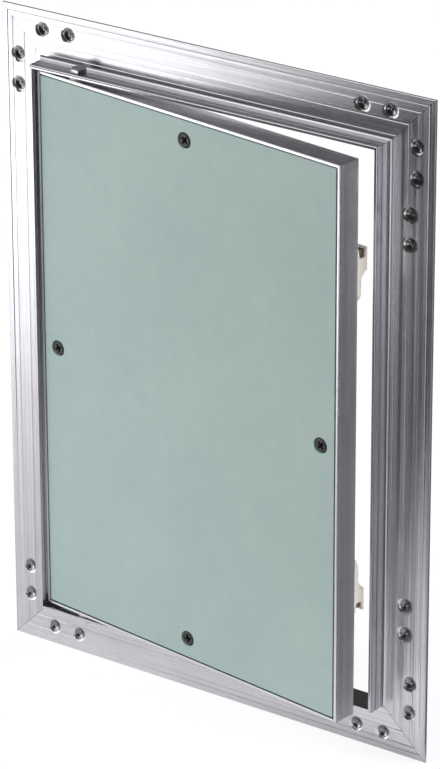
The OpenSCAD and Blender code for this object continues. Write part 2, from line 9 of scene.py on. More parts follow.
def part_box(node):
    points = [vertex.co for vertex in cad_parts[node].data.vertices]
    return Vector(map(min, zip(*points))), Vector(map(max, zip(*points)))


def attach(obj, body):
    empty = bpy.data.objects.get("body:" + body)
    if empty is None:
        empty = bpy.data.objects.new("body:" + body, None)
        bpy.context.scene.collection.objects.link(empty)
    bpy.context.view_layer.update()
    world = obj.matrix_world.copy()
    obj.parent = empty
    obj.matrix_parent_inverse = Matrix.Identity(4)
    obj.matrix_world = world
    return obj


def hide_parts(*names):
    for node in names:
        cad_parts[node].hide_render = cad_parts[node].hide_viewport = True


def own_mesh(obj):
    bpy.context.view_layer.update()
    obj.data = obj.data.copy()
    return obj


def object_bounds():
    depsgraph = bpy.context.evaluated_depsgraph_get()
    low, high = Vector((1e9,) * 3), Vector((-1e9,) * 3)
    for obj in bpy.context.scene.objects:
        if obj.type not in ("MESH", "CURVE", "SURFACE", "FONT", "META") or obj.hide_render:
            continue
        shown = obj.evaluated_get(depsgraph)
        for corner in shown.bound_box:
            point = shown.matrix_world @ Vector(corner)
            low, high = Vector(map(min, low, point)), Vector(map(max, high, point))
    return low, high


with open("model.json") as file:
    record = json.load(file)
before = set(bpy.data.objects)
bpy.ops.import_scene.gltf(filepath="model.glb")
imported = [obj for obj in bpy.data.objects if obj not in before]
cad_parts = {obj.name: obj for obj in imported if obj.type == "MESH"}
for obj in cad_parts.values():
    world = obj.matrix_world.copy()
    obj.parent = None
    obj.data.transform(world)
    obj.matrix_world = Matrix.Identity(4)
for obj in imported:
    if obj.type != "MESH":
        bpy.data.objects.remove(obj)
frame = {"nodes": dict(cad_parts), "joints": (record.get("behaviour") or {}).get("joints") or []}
cad_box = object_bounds()


# Frame sides: four lengths of one aluminium extrusion, sawn to a mitre. The die leaves lengthwise
# lines on every face, the edges are only just broken, and each joint shows as a fine dark seam.
MM = 0.001


class Wire:
    """A shader socket in a sum: each operator adds a Math node."""

    def __init__(self, tree, socket):
        self.tree = tree
        self.socket = socket

    @staticmethod
    def node(tree, kind, settings=None, sockets=None, output=0):
        """Adds a node: its settings first, then the values or links of its sockets."""
        made = tree.nodes.new(kind)
        for key, value in (settings or {}).items():
            setattr(made, key, value)
        for key, value in (sockets or {}).items():
            if isinstance(value, Wire):
                tree.links.new(value.socket, made.inputs[key])
            else:
                made.inputs[key].default_value = value
        return Wire(tree, made.outputs[output])

    def maths(self, operation, first, second):
        return Wire.node(self.tree, "ShaderNodeMath", {"operation": operation}, {0: first, 1: second})

    def __add__(self, other):
        return self.maths("ADD", self, other)

    __radd__ = __add__

    def __sub__(self, other):
        return self.maths("SUBTRACT", self, other)

    def __rsub__(self, other):
        return self.maths("SUBTRACT", other, self)

    def __mul__(self, other):
        return self.maths("MULTIPLY", self, other)

    __rmul__ = __mul__

    def __abs__(self):
        return self.maths("ABSOLUTE", self, 0.0)


def new_finish(name, **fixed):
    """An empty material with its shader's fixed sockets set."""
    finish = bpy.data.materials.new(name)
    finish.use_nodes = True
    tree = finish.node_tree
    tree.nodes.clear()
    output = tree.nodes.new("ShaderNodeOutputMaterial")
    shader = tree.nodes.new("ShaderNodeBsdfPrincipled")
    tree.links.new(shader.outputs[0], output.inputs[0])
    for key, value in fixed.items():
        shader.inputs[key.replace("_", " ")].default_value = value
    return finish, tree, shader


def feed(shader, **wires):
    """Links each wire to the shader's socket of that name."""
    for key, wire in wires.items():
        wire.tree.links.new(wire.socket, shader.inputs[key.replace("_", " ")])


def place_on(tree, scale=(1.0, 1.0, 1.0), turn=0.0):
    """Object coordinates, turned about the upright axis and then scaled."""
    where = Wire.node(tree, "ShaderNodeTexCoord", output="Object")
    if turn:
        where = Wire.node(tree, "ShaderNodeMapping", {}, {"Vector": where, "Rotation": Euler((0, 0, turn))})
    return Wire.node(tree, "ShaderNodeMapping", {}, {"Vector": where, "Scale": scale})


def noise(tree, where, scale, detail, roughness):
    return Wire.node(tree, "ShaderNodeTexNoise", {"noise_dimensions": "3D"}, {
        "Vector": where, "Scale": scale, "Detail": detail, "Roughness": roughness})


def spread(tree, value, low, high, to_low=0.0, to_high=1.0):
    """A value between low and high, drawn out smoothly over another range."""
    return Wire.node(tree, "ShaderNodeMapRange", {"interpolation_type": "SMOOTHSTEP"}, {
        "Value": value, "From Min": low, "From Max": high, "To Min": to_low, "To Max": to_high})


def blend_colour(tree, share, first, second):
    return Wire.node(tree, "ShaderNodeMix", {"data_type": "RGBA"}, {
        "Factor": share, 6: first if isinstance(first, Wire) else (*first, 1.0),
        7: second if isinstance(second, Wire) else (*second, 1.0)}, output=2)


def relief(tree, strength, depth, height, **under):
    """A bumpy normal, on top of another one where it is given."""
    return Wire.node(tree, "ShaderNodeBump", {}, {
        "Strength": strength, "Distance": depth, "Height": height, **under})


LINE_STRETCH = 0.003
SEAM_CORE, SEAM_FADE, SEAM_SHARE = 0.1 * MM, 0.26 * MM, 0.75
SEAM_DARK = (0.10, 0.10, 0.11)


def mill_aluminium(name, upright, dark, light, wave, turn=0.0, mitre=None):
    """Extruded aluminium with die lines along the bar, and a dark seam where x passes z by the mitre."""
    finish, tree, shader = new_finish(name, Metallic=1.0)
    along = (1.0, 1.0, LINE_STRETCH) if upright else (LINE_STRETCH, 1.0, 1.0)
    lines = place_on(tree, along, turn)
    fine = noise(tree, lines, 2600.0, 2.0, 0.6)
    broad = noise(tree, lines, 420.0, 1.0, 0.5)
    cloud = noise(tree, place_on(tree), 38.0, 3.0, 0.55)
    streak = spread(tree, fine * 0.45 + broad * 0.4 + cloud * 0.15, 0.36, 0.64)
    metal = blend_colour(tree, streak, dark, light)
    if mitre is not None:
        where = place_on(tree)
        x, z = (Wire.node(tree, "ShaderNodeSeparateXYZ", {}, {0: where}, output=axis) for axis in "XZ")
        seam = spread(tree, abs(abs(x) - abs(z) - mitre), SEAM_CORE, SEAM_FADE, SEAM_SHARE, 0.0)
        metal = blend_colour(tree, seam, metal, SEAM_DARK)
    feed(shader, Base_Color=metal)
    feed(shader, Roughness=0.34 - streak * 0.1 + spread(tree, cloud, 0.5, 0.8) * 0.08)
    swell = relief(tree, 1.0, wave, noise(tree, lines, 260.0, 1.0, 0.5))
    feed(shader, Normal=relief(tree, 0.22, 0.06 * MM, fine + broad * 0.6, Normal=swell))
    return finish


def added(name, data):
    """A new object in the scene."""
    piece = bpy.data.objects.new(name, data)
    bpy.context.scene.collection.objects.link(piece)
    return piece


def meshed(shape, name):
    """A finished shape as a mesh."""
    mesh = bpy.data.meshes.new(name)
    shape.to_mesh(mesh)
    shape.free()
    return mesh


def plain(piece):
    """Turns what the modifiers give into the piece's own mesh."""
    seen = piece.evaluated_get(bpy.context.evaluated_depsgraph_get())
    mesh = bpy.data.meshes.new_from_object(seen)
    piece.modifiers.clear()
    piece.data = mesh
    return piece


MERGE = 0.002 * MM
SHARP_FROM, SMOOTH_BELOW = math.radians(28), math.radians(19)


def softened(node, name, edge):
    """A merged copy of a CAD node with its sharp edges broken. Its flat faces stay flat."""
    shape = bmesh.new()
    shape.from_mesh(frame["nodes"][node].data)
    bmesh.ops.remove_doubles(shape, verts=shape.verts, dist=MERGE)
    paired = [line for line in shape.edges if len(line.link_faces) == 2]
    sharp = [line for line in paired if line.calc_face_angle(0.0) > SHARP_FROM]
    broken = bmesh.ops.bevel(shape, geom=sharp, offset=edge, offset_type="OFFSET", segments=1, profile=0.5,
                             affect="EDGES", clamp_overlap=True)
    narrow = set(broken["faces"])
    for line in shape.edges:
        borders = len(narrow.intersection(line.link_faces)) == 1
        line.smooth = not borders and line.calc_face_angle(0.0) < SMOOTH_BELOW
    mesh = meshed(shape, name)
    mesh.polygons.foreach_set("use_smooth", [True] * len(mesh.polygons))
    piece = added(name, mesh)
    even = piece.modifiers.new("flat_faces_stay_flat", "WEIGHTED_NORMAL")
    even.weight = 100
    even.keep_sharp = True
    return plain(piece)


def dressed(piece, finish, body, node):
    """Gives a piece its finish in one slot and its body, and hides the CAD node that it replaces."""
    piece.data.materials.clear()
    piece.data.materials.append(finish)
    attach(piece, body)
    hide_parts(node)


frame_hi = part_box("frame_right")[1]
mitre = frame_hi.x - frame_hi.z
level_aluminium = mill_aluminium(
    "mill_aluminium_level", upright=False, dark=(0.62, 0.61, 0.655), light=(0.82, 0.81, 0.845),
    wave=0.2 * MM, mitre=mitre)
# The uprights get a darker tint than the level sides of the same extrusion: painted shade for the dimmer
# light on them.
upright_aluminium_painted_shade = mill_aluminium(
    "mill_aluminium_upright_painted_shade", upright=True, dark=(0.54, 0.53, 0.575), light=(0.74, 0.73, 0.765),
    wave=0.5 * MM, mitre=mitre)
for side, finish in (("bottom", level_aluminium), ("right", upright_aluminium_painted_shade),
                     ("top", level_aluminium), ("left", upright_aluminium_painted_shade)):
    bar = softened(f"frame_{side}", f"extruded_side_{side}", 0.08 * MM)
    dressed(bar, finish, "frame", f"frame_{side}")


# Corner brackets: flat L plates punched from zinc-plated steel. They slide into the tracks behind
# the flange and hold each mitre shut. The plating shows a faint mottle.
def zinc_plate(name, dark=(0.46, 0.48, 0.51), light=(0.66, 0.68, 0.70)):
    finish, tree, shader = new_finish(name, Metallic=1.0)
    where = place_on(tree)
    mottle = noise(tree, where, 260.0, 4.0, 0.6)
    bloom = noise(tree, where, 60.0, 2.0, 0.5)
    share = spread(tree, mottle * 0.6 + bloom * 0.4, 0.35, 0.68)
    feed(shader, Base_Color=blend_colour(tree, share, dark, light))
    feed(shader, Roughness=0.46 - share * 0.16)
    grain = noise(tree, where, 3200.0, 2.0, 0.5)
    feed(shader, Normal=relief(tree, 0.15, 0.05 * MM, grain + mottle * 0.5))
    return finish


bracket_zinc = zinc_plate("zinc_plated_bracket")
for corner in ("bottom_left", "bottom_right", "top_right", "top_left"):
    bracket = softened(f"bracket_{corner}", f"corner_bracket_{corner}", 0.18 * MM)
    dressed(bracket, bracket_zinc, "frame", f"bracket_{corner}")


# Keepers and strikers: a cranked strip of zinc-plated steel in the right-hand track comes round
# behind the wall, and a turned stud is riveted into its end. The stud enters the jaw of the latch.
keeper_zinc = zinc_plate("zinc_plated_keeper", (0.44, 0.46, 0.50), (0.68, 0.69, 0.70))
stud_zinc = zinc_plate("turned_stud", (0.52, 0.53, 0.55), (0.74, 0.74, 0.75))
for place in ("top", "bottom"):
    keeper = softened(f"keeper_{place}", f"cranked_keeper_{place}", 0.2 * MM)
    dressed(keeper, keeper_zinc, "frame", f"keeper_{place}")
    stud = softened(f"striker_{place}", f"turned_striker_{place}", 0.12 * MM)
    dressed(stud, stud_zinc, "frame", f"striker_{place}")


# Rivets of the frame: blind rivets with a dished head, drawn down into pressed seats so that
# nothing stands above the flange. The broken stem shows at the bottom of the dish.
RIVET_LINE, RIVET_STATIONS = 10.1 * MM, (25.6 * MM, 41.8 * MM)
KEEPER_LINE = 13.3 * MM
KEEPER_Z = (116.2 * MM, 100.6 * MM, -92.6 * MM, -108.2 * MM)

# Outline of a frame rivet, as radius and depth behind the flange's front in millimetres.
RIVET_STEM = [(0, 1.25), (0.35, 1.25), (0.6, 1.3), (0.7, 1.4)]
RIVET_DISH = [(0.72, 1.55), (0.85, 1.62), (1.0, 1.64), (1.2, 1.6), (1.5, 1.46), (2.0, 1.19), (2.45, 0.95)]
RIVET_LIP = [(2.7, 0.81), (2.92, 0.71), (3.06, 0.68), (3.17, 0.7), (3.2, 0.735), (2.46, 1.385)]
RIVET_SHANK = [(2.0, 1.42), (2.0, 3.4)]
RIVET_UPSET = [(2.4, 3.4), (2.5, 3.5), (2.5, 3.95), (2.3, 4.2), (1.9, 4.38), (0, 4.4)]


def corner_spots(half, line, stations, front):
    """Two spots on each leg of every corner, one line in from the edge."""
    spots = []
    for side_x in (-1, 1):
        for side_z in (-1, 1):
            for station in stations:
                spots.append((side_x * (half.x - station), front, side_z * (half.z - line)))
                spots.append((side_x * (half.x - line), front, side_z * (half.z - station)))
    return spots


def turned(name, outline, steps=40):
    """A piece turned about the Y axis from (radius, depth) pairs in millimetres."""
    shape = bmesh.new()
    angles = [math.tau * k / steps for k in range(steps)]
    rings = []
    for radius, depth in outline:
        if radius == 0:
            rings.append([shape.verts.new((0.0, depth * MM, 0.0))])
            continue
        rings.append([
            shape.verts.new((radius * MM * math.cos(a), depth * MM, radius * MM * math.sin(a)))
            for a in angles])
    for a, b in zip(rings, rings[1:]):
        for k in range(steps):
            n = (k + 1) % steps
            loop = [a[k % len(a)], b[k % len(b)], b[n % len(b)], a[n % len(a)]]
            shape.faces.new(list(dict.fromkeys(loop)))
    bmesh.ops.recalc_face_normals(shape, faces=shape.faces)
    mesh = meshed(shape, name)
    mesh.shade_smooth()
    mesh.set_sharp_from_angle(angle=math.radians(50))
    return added(name, mesh)


def seating_tree(name):
    """Sets one part on every point, each turned about its own axis, as separate shells."""
    tree = bpy.data.node_groups.new(name, "GeometryNodeTree")
    tree.interface.new_socket("Spots", in_out="INPUT", socket_type="NodeSocketGeometry")
    for label, kind in (("Part", "NodeSocketObject"), ("Most Turn", "NodeSocketFloat"),
                        ("Seed", "NodeSocketInt"), ("Finish", "NodeSocketMaterial")):
        tree.interface.new_socket(label, in_out="INPUT", socket_type=kind)
    tree.interface.new_socket("Parts", in_out="OUTPUT", socket_type="NodeSocketGeometry")
    add, join = tree.nodes.new, tree.links.new
    given, result = add("NodeGroupInput"), add("NodeGroupOutput")
    part, seat = add("GeometryNodeObjectInfo"), add("GeometryNodeInstanceOnPoints")
    turn, axis = add("FunctionNodeRandomValue"), add("ShaderNodeCombineXYZ")
    real, coat = add("GeometryNodeRealizeInstances"), add("GeometryNodeSetMaterial")
    turn.data_type = "FLOAT"
    join(given.outputs["Part"], part.inputs["Object"])
    join(given.outputs["Spots"], seat.inputs["Points"])
    join(part.outputs["Geometry"], seat.inputs["Instance"])
    join(given.outputs["Most Turn"], turn.inputs[3])
    join(given.outputs["Seed"], turn.inputs["Seed"])
    join(turn.outputs[1], axis.inputs["Y"])
    join(axis.outputs[0], seat.inputs["Rotation"])
    join(seat.outputs[0], real.inputs[0])
    join(real.outputs[0], coat.inputs["Geometry"])
    join(given.outputs["Finish"], coat.inputs["Material"])
    join(coat.outputs[0], result.inputs[0])
    return tree


def grown(name, mesh, tree, inputs):
    """A plain piece that a tree makes. Each named input is set by its socket's identifier."""
    piece = added(name, mesh)
    made = piece.modifiers.new(tree.name, "NODES")
    made.node_group = tree
    socket = {s.name: s.identifier for s in tree.interface.items_tree if s.in_out == "INPUT"}
    for label, value in inputs.items():
        made[socket[label]] = value
    return plain(piece)


seated_parts = seating_tree("seated_parts")


def seat_all(name, part, spots, finish, seed):
    """One piece with a copy of the part on every spot."""
    points = bpy.data.meshes.new(name)
    points.from_pydata(spots, [], [])
    return grown(name, points, seated_parts, {
        "Part": part, "Most Turn": math.tau, "Seed": seed, "Finish": finish})


# Rivets get a dark base colour as painted shade: it stands for the shade inside their deep dished heads.
def painted_shade_rivet_satin(name):
    finish, tree, shader = new_finish(name, Metallic=1.0)
    pull = noise(tree, place_on(tree), 900.0, 3.0, 0.6)
    share = spread(tree, pull, 0.35, 0.65)
    feed(shader, Base_Color=blend_colour(tree, share, (0.21, 0.21, 0.215), (0.34, 0.34, 0.345)))
    feed(shader, Roughness=0.18 + share * 0.1)
    feed(shader, Normal=relief(tree, 0.2, 0.06 * MM, pull))
    return finish


frame_rivet = turned("frame_rivet", RIVET_STEM + RIVET_DISH + RIVET_LIP + RIVET_SHANK + RIVET_UPSET)
rivet_painted_shade_finish = painted_shade_rivet_satin("satin_rivet_painted_shade")
corner_rivet_spots = corner_spots(frame_hi, RIVET_LINE, RIVET_STATIONS, 0.0)
keeper_rivet_spots = [(frame_hi.x - KEEPER_LINE, 0.0, z) for z in KEEPER_Z]
corner_rivets = seat_all("corner_rivet_set", frame_rivet, corner_rivet_spots, rivet_painted_shade_finish, seed=5)
dressed(corner_rivets, rivet_painted_shade_finish, "frame", "corner_rivets")
keeper_rivets = seat_all("keeper_rivet_set", frame_rivet, keeper_rivet_spots, rivet_painted_shade_finish, seed=8)
dressed(keeper_rivets, rivet_painted_shade_finish, "frame", "keeper_rivets")
bpy.data.objects.remove(frame_rivet)


# Pivot bolts: zinc-plated hexagon bolts through the top and bottom of the rim. The head stands on
# the outside of the rim wall and the plain shank is the pin that the leaf turns on.
bolt_zinc = zinc_plate("bright_bolt", (0.58, 0.59, 0.61), (0.80, 0.80, 0.81))
for place in ("top", "bottom"):
    bolt = softened(f"pivot_bolt_{place}", f"hexagon_pivot_{place}", 0.25 * MM)
    dressed(bolt, bolt_zinc, "frame", f"pivot_bolt_{place}")


# Leaf sides: four lengths of a thinner aluminium profile, mitred like the frame. A lip behind the
# board carries it, and only the bright front edge of the wall shows round the board.
AJAR = math.radians(7.6)
hinge = next(j for j in frame["joints"] if j["name"] == "leaf_pivot")
pivot = Matrix.Translation(Vector(hinge["pos_m"]))
leaf_place = pivot @ Matrix.Rotation(-AJAR, 4, "Z") @ pivot.inverted()
leaf_level = mill_aluminium(
    "leaf_aluminium_level", upright=False, dark=(0.66, 0.66, 0.69), light=(0.86, 0.86, 0.88),
    wave=0.12 * MM, turn=AJAR)
# The leaf uprights get a slightly darker tint than the level sides of the same profile: painted shade.
leaf_upright_painted_shade = mill_aluminium(
    "leaf_aluminium_upright_painted_shade", upright=True, dark=(0.62, 0.62, 0.65), light=(0.82, 0.82, 0.84),
    wave=0.12 * MM, turn=AJAR)
for side, finish in (("bottom", leaf_level), ("right", leaf_upright_painted_shade),
                     ("top", leaf_level), ("left", leaf_upright_painted_shade)):
    bar = softened(f"leaf_{side}", f"leaf_profile_{side}", 0.1 * MM)
    dressed(bar, finish, "leaf", f"leaf_{side}")


# Leaf corner plates: zinc-plated L plates on the back of the lips, held by flush rivets whose
# countersunk heads lie under the board. Places in the leaf are those of the shut leaf.
LEAF_HALF = Vector((101.5 * MM, 0.0, 148.5 * MM))
LIP_FRONT = 1.0 * MM
PLATE_LINE, PLATE_STATIONS, PLATE_GRIP = 8.7 * MM, (14.7 * MM, 27.0 * MM), 1.5
plate_zinc = zinc_plate("zinc_plated_corner")
for corner in ("bottom_left", "bottom_right", "top_right", "top_left"):
    corner_plate = softened(f"leaf_plate_{corner}", f"leaf_corner_{corner}", 0.18 * MM)
    dressed(corner_plate, plate_zinc, "leaf", f"leaf_plate_{corner}")


def flush_rivet(name, grip):
    """Countersunk rivet through the lip and a grip in millimetres, with a low dome at its upset end."""
    back = 1.2 + grip
    return turned(name, [
        (0, 0.06), (1.9, 0.06), (2.1, 0.08), (2.14, 0.13), (1.5, 0.75), (1.5, back), (2.1, back),
        (2.2, back + 0.1), (2.18, back + 0.3), (2.0, back + 0.52), (1.5, back + 0.72), (0.8, back + 0.79),
        (0, back + 0.8)], 28)


def seat_in_leaf(name, part, spots, finish, node, seed):
    """Seats a part in the shut leaf, opens it with the leaf and removes the loose part."""
    piece = seat_all(name, part, spots, finish, seed)
    piece.data.transform(leaf_place)
    dressed(piece, finish, "leaf", node)
    bpy.data.objects.remove(part)


plate_spots = corner_spots(LEAF_HALF, PLATE_LINE, PLATE_STATIONS, LIP_FRONT)
seat_in_leaf("leaf_rivet_set", flush_rivet("plate_rivet", PLATE_GRIP), plate_spots, rivet_painted_shade_finish,
             "leaf_rivets", seed=11)


# Plasterboard: a 12.5 mm moisture-resistant gypsum board with a green paper face, cut to drop into
# the leaf. The paper has a faint upright fibre, a soft mottle and small dark specks.
def board_paper(name):
    finish, tree, shader = new_finish(name, Specular_IOR_Level=0.25)
    fibre = noise(tree, place_on(tree, (1.0, 1.0, 0.05), AJAR), 1500.0, 3.0, 0.6)
    where = place_on(tree, turn=AJAR)
    cloud = noise(tree, where, 16.0, 3.0, 0.5)
    speck = spread(tree, noise(tree, where, 700.0, 1.0, 0.4), 0.72, 0.8)
    mottle = noise(tree, where, 120.0, 3.0, 0.6)
    tone = spread(tree, fibre * 0.2 + mottle * 0.35 + cloud * 0.45, 0.34, 0.68)
    paper = blend_colour(tree, tone, (0.358, 0.453, 0.434), (0.392, 0.487, 0.468))
    feed(shader, Base_Color=blend_colour(tree, speck * 0.35, paper, (0.24, 0.34, 0.31)))
    feed(shader, Roughness=0.82 + fibre * 0.14)
    feed(shader, Normal=relief(tree, 0.3, 0.1 * MM, fibre * 0.4 + mottle * 0.4 - speck * 0.4))
    return finish


board = softened("plasterboard", "paper_faced_board", 0.12 * MM)
dressed(board, board_paper("green_board_paper"), "leaf", "plasterboard")


# Board screws: black phosphated drywall screws with a bugle head and a cross recess, driven until
# the head is just under the paper.
LEAF_FRONT = -11.5 * MM
SCREW_ACROSS, SCREW_UP = 90.2 * MM, 135.9 * MM

# Outline of a screw and the rings of its cross recess, in millimetres from the front of the board.
SCREW_HEAD = [(0, 0.27), (1.6, 0.25), (2.8, 0.21), (3.0, 0.22), (3.15, 0.3), (3.55, 0.56), (3.9, 0.73),
              (4.13, 0.77)]
SCREW_POINT = [(1.75, 14.0), (0.9, 16.6), (0.15, 18.9), (0, 19.0)]
BUGLE_X, BUGLE_DEPTH, BUGLE_R = 4.9, 4.4, 3.15
CROSS_MOUTH, CROSS_START = ((2.55, 0.72), (2.55, -0.72), (0.78, -0.78)), -0.4
CROSS_BOTTOM, CROSS_END = ((1.45, 0.36), (1.45, -0.36), (0.39, -0.39)), 2.5


def black_phosphate(name):
    finish, tree, shader = new_finish(name, Specular_IOR_Level=0.4)
    grain = noise(tree, place_on(tree), 1600.0, 3.0, 0.6)
    share = spread(tree, grain, 0.35, 0.7)
    feed(shader, Base_Color=blend_colour(tree, share, (0.022, 0.022, 0.024), (0.046, 0.046, 0.048)))
    feed(shader, Roughness=0.36 + share * 0.2)
    feed(shader, Normal=relief(tree, 0.25, 0.08 * MM, grain))
    return finish


def cross_punch(name):
    """The solid that cuts the cross recess: a star that tapers with depth."""
    shape = bmesh.new()
    mouth, bottom = [], []
    for k in range(4):
        turn = Matrix.Rotation(math.tau * k / 4, 3, "Y")
        for (x, z), (deep_x, deep_z) in zip(CROSS_MOUTH, CROSS_BOTTOM):
            mouth.append(shape.verts.new(turn @ Vector((x, CROSS_START, z)) * MM))
            bottom.append(shape.verts.new(turn @ Vector((deep_x, CROSS_END, deep_z)) * MM))
    count = len(mouth)
    shape.faces.new(mouth)
    shape.faces.new(list(reversed(bottom)))
    for k in range(count):
        n = (k + 1) % count
        shape.faces.new((mouth[k], mouth[n], bottom[n], bottom[k]))
    bmesh.ops.recalc_face_normals(shape, faces=shape.faces)
    return added(name, meshed(shape, name))


def cross_screw(name):
    """Bugle-headed screw with a tapered cross recess cut into it."""
    bugle = [(BUGLE_X - BUGLE_R * math.cos(a), BUGLE_DEPTH - BUGLE_R * math.sin(a)) for a in
             (math.radians(55 - 11 * k) for k in range(6))]
    blank = turned(name, SCREW_HEAD + bugle + SCREW_POINT, 44)
    punch = cross_punch("cross_punch")
    cut = blank.modifiers.new("cross", "BOOLEAN")
    cut.operation = "DIFFERENCE"
    cut.solver = "EXACT"
    cut.object = punch
    plain(blank)
    bpy.data.objects.remove(punch)
    blank.data.set_sharp_from_angle(angle=math.radians(35))
    return blank


screw_black = black_phosphate("black_phosphate")
screw_spots = [(0.0, LEAF_FRONT, -SCREW_UP), (SCREW_ACROSS, LEAF_FRONT, 0.0),
               (0.0, LEAF_FRONT, SCREW_UP), (-SCREW_ACROSS, LEAF_FRONT, 0.0)]
seat_in_leaf("board_screw_set", cross_screw("cross_screw"), screw_spots, screw_black,
             "board_screws", seed=4)


# Pivot bushes: natural nylon, pressed into the ends of the leaf. The flange of each keeps the leaf
# clear of the rim and turns on the pivot bolt.
def moulded(name, dark, light, gloss):
    finish, tree, shader = new_finish(name, Specular_IOR_Level=0.5)
    where = place_on(tree)
    flow = noise(tree, where, 45.0, 3.0, 0.5)
    grain = noise(tree, where, 2400.0, 2.0, 0.5)
    share = spread(tree, flow * 0.7 + grain * 0.3, 0.35, 0.65)
    feed(shader, Base_Color=blend_colour(tree, share, dark, light))
    feed(shader, Roughness=gloss + grain * 0.16)
    feed(shader, Normal=relief(tree, 0.12, 0.06 * MM, grain + flow * 0.5))
    return finish


bush_nylon = moulded("natural_nylon", (0.60, 0.59, 0.55), (0.70, 0.69, 0.65), 0.34)
for place in ("top", "bottom"):
    bush = softened(f"pivot_bush_{place}", f"nylon_bush_{place}", 0.15 * MM)
    dressed(bush, bush_nylon, "leaf", f"pivot_bush_{place}")


# Latches: moulded cream blocks on the back of the leaf, each with a rounded foot, a gusset and a
# thin tail. A jaw slides in the block and is pushed out by a spring, and flush rivets through the
# foot and the tail hold the block to the lip of the leaf.
LATCH_X, LATCH_Z = 94.2 * MM, (95.0 * MM, -87.0 * MM)
TAIL_RIVET, FOOT_RIVET = 12.0 * MM, -17.0 * MM
TAIL_GRIP, FOOT_GRIP = 1.3, 4.0
latch_cream = moulded("cream_latch_plastic", (0.80, 0.73, 0.68), (0.88, 0.82, 0.78), 0.36)
# The jaw is coloured dark brown as painted shade: it stands for the shaded cavity that shows through the
# window of the block.
jaw_painted_shade_brown = moulded("brown_jaw_plastic_painted_shade", (0.14, 0.105, 0.085), (0.20, 0.155, 0.125), 0.34)
for place in ("top", "bottom"):
    block = softened(f"latch_block_{place}", f"moulded_latch_{place}", 0.3 * MM)
    dressed(block, latch_cream, "leaf", f"latch_block_{place}")
for place, body in (("top", "upper_jaw"), ("bottom", "lower_jaw")):
    jaw = softened(f"latch_jaw_{place}", f"sliding_jaw_{place}", 0.22 * MM)
    dressed(jaw, jaw_painted_shade_brown, body, f"latch_jaw_{place}")
for end, grip, offset, seed in (("tail", TAIL_GRIP, TAIL_RIVET, 13), ("foot", FOOT_GRIP, FOOT_RIVET, 17)):
    spots = [(LATCH_X, LIP_FRONT, LATCH_Z[0] + offset), (LATCH_X, LIP_FRONT, LATCH_Z[1] - offset)]
    seat_in_leaf(f"latch_{end}_rivets", flush_rivet(f"{end}_rivet", grip), spots, rivet_painted_shade_finish,
                 "latch_rivets", seed)


# Latch springs: conical springs of bright steel wire between the floor of each block and its jaw.
# Pressed flat, the turns lie inside each other.
WIRE_R, WIRE_CLEAR = 0.25 * MM, 0.05 * MM
SPRING_FLOOR, SPRING_RISE, SPRING_PRESSED = 3.4 * MM, 3.1 * MM, 0.29
SPRING_TURNS, SPRING_WIDE, SPRING_NARROW = 3.0, 2.1 * MM, 0.5 * MM


def coil_tree(name):
    """A conical coil of round wire that rises along Z."""
    tree = bpy.data.node_groups.new(name, "GeometryNodeTree")
    for label, kind in (("Turns", "NodeSocketFloat"), ("Wide Radius", "NodeSocketFloat"),
                        ("Narrow Radius", "NodeSocketFloat"), ("Rise", "NodeSocketFloat"),
                        ("Wire Radius", "NodeSocketFloat"), ("Finish", "NodeSocketMaterial")):
        tree.interface.new_socket(label, in_out="INPUT", socket_type=kind)
    tree.interface.new_socket("Coil", in_out="OUTPUT", socket_type="NodeSocketGeometry")
    add, join = tree.nodes.new, tree.links.new
    given, result = add("NodeGroupInput"), add("NodeGroupOutput")
    path, section = add("GeometryNodeCurveSpiral"), add("GeometryNodeCurvePrimitiveCircle")
    sweep, real = add("GeometryNodeCurveToMesh"), add("GeometryNodeRealizeInstances")
    coat = add("GeometryNodeSetMaterial")
    path.inputs["Resolution"].default_value = 40
    section.inputs["Resolution"].default_value = 12
    sweep.inputs["Fill Caps"].default_value = True
    join(given.outputs["Turns"], path.inputs["Rotations"])
    join(given.outputs["Wide Radius"], path.inputs["Start Radius"])
    join(given.outputs["Narrow Radius"], path.inputs["End Radius"])
    join(given.outputs["Rise"], path.inputs["Height"])
    join(given.outputs["Wire Radius"], section.inputs["Radius"])
    join(path.outputs[0], sweep.inputs["Curve"])
    join(section.outputs[0], sweep.inputs["Profile Curve"])
    join(sweep.outputs[0], real.inputs[0])
    join(real.outputs[0], coat.inputs["Geometry"])
    join(given.outputs["Finish"], coat.inputs["Material"])
    join(coat.outputs[0], result.inputs[0])
    return tree


spring_steel = zinc_plate("bright_spring_wire", (0.50, 0.50, 0.52), (0.72, 0.72, 0.73))
conical_coil = coil_tree("conical_coil")
for place, z, joint in (("top", LATCH_Z[0], "upper_jaw_push"), ("bottom", LATCH_Z[1], "lower_jaw_push")):
    name = f"conical_spring_{place}"
    spring = grown(name, bpy.data.meshes.new(name), conical_coil, {
        "Turns": SPRING_TURNS, "Wide Radius": SPRING_WIDE, "Narrow Radius": SPRING_NARROW,
        "Rise": SPRING_RISE, "Wire Radius": WIRE_R, "Finish": spring_steel})
    foot = Matrix.Translation((LATCH_X, SPRING_FLOOR + WIRE_R + WIRE_CLEAR, z))
    spring.data.transform(leaf_place @ foot @ Matrix.Rotation(-math.pi / 2, 4, "X"))
    spring.data.shade_smooth()
    dressed(spring, spring_steel, "leaf", f"latch_spring_{place}")
    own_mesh(spring)


